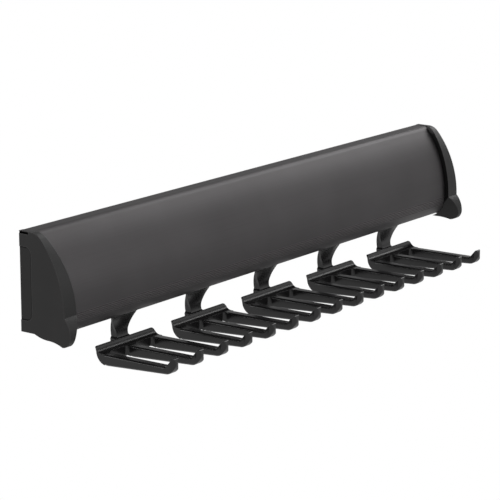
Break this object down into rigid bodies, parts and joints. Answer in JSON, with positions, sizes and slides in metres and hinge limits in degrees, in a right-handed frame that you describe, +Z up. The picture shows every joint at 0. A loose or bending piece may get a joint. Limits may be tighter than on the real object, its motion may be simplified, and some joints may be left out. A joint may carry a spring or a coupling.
{
  "type": "sliding tie rack",
  "caption": "Pull-out tie rack for a wardrobe side wall: a curved aluminium cover on a ball slide, with plastic end caps and hooks whose prongs turn up at the tips.",
  "frame": {"origin": "middle of the row of wall screw holes, on the plane of the wall", "axes": "+X along the rack towards the wall end of the slide, -X the way the rack pulls out, -Y away from the wall, +Z up"},
  "size_m": [0.3546, 0.0675, 0.0721],
  "materials": {
    "slide_steel": "satin",
    "cage_steel": "matte",
    "bearing_steel": "polished",
    "screw_steel": "satin",
    "buffer": "matte",
    "anodised_cover": "satin dark anodised",
    "cap_plastic": "satin",
    "plug_plastic": "satin",
    "hook_plastic": "glossy"
  },
  "bodies": {
    "wall_member": {"outer_member": "slide_steel", "rear_bumper": "buffer"},
    "outer_retainer": {"outer_cage": "cage_steel", "outer_balls": "bearing_steel"},
    "middle": {"middle_member": "slide_steel"},
    "inner_retainer": {"inner_cage": "cage_steel", "inner_balls": "bearing_steel"},
    "carriage": {"inner_member": "slide_steel", "slide_screws": "screw_steel", "cover": "anodised_cover", "rear_cap": "cap_plastic", "front_cap": "cap_plastic", "notch_plug": "plug_plastic", "hook_1": "hook_plastic", "hook_2": "hook_plastic", "hook_3": "hook_plastic", "hook_4": "hook_plastic", "hook_5": "hook_plastic"}
  },
  "joints": [
    {"name": "middle_slide", "type": "slide", "parent": "wall_member", "child": "middle", "axis": [-1, 0, 0], "range_m": [0, 0.165]},
    {"name": "carriage_slide", "type": "slide", "parent": "middle", "child": "carriage", "axis": [-1, 0, 0], "range_m": [0, 0.165]},
    {"name": "outer_retainer_slide", "type": "slide", "parent": "wall_member", "child": "outer_retainer", "axis": [-1, 0, 0], "range_m": [0, 0.0825]},
    {"name": "inner_retainer_slide", "type": "slide", "parent": "middle", "child": "inner_retainer", "axis": [-1, 0, 0], "range_m": [0, 0.0825]}
  ],
  "couplings": [
    {"joint": "carriage_slide", "follows": "middle_slide", "ratio": 1},
    {"joint": "outer_retainer_slide", "follows": "middle_slide", "ratio": 0.5},
    {"joint": "inner_retainer_slide", "follows": "middle_slide", "ratio": 0.5}
  ]
}
